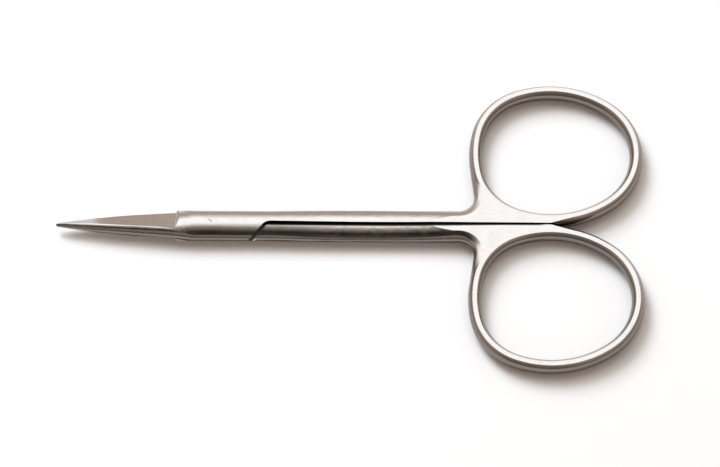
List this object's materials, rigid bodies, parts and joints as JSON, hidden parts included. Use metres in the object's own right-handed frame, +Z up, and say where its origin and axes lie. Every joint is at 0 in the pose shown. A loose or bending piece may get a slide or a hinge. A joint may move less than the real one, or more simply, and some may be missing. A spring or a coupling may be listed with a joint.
{
  "type": "iris scissors",
  "caption": "Straight iris scissors with slim pointed blades, crowned lap joint, slender shanks and egg-shaped finger rings, satin stainless steel, lying closed",
  "frame": {"origin": "bottom centre of the closed pair's box, on the surface it lies on", "axes": "+X from the blade tips to the finger rings, +Y across the flat pair towards the ring of the thread-side half, +Z up from the surface it lies on"},
  "size_m": [0.1152, 0.0634, 0.0033],
  "materials": {
    "satin_steel": "polished stainless steel with a fine satin grain, flat ring faces brushed lengthwise",
    "screw_steel": "stainless screw ground flush with the joint and polished over"
  },
  "bodies": {
    "head_side": {"head_side_half": "satin_steel"},
    "thread_side": {"thread_side_half": "satin_steel", "pivot_screw": "screw_steel"}
  },
  "joints": [
    {"name": "pivot", "type": "hinge", "parent": "head_side", "child": "thread_side", "pos_m": [-0.02686, 0, 0.00165], "axis": [0, 0, 1], "range_deg": [0, 90]}
  ]
}
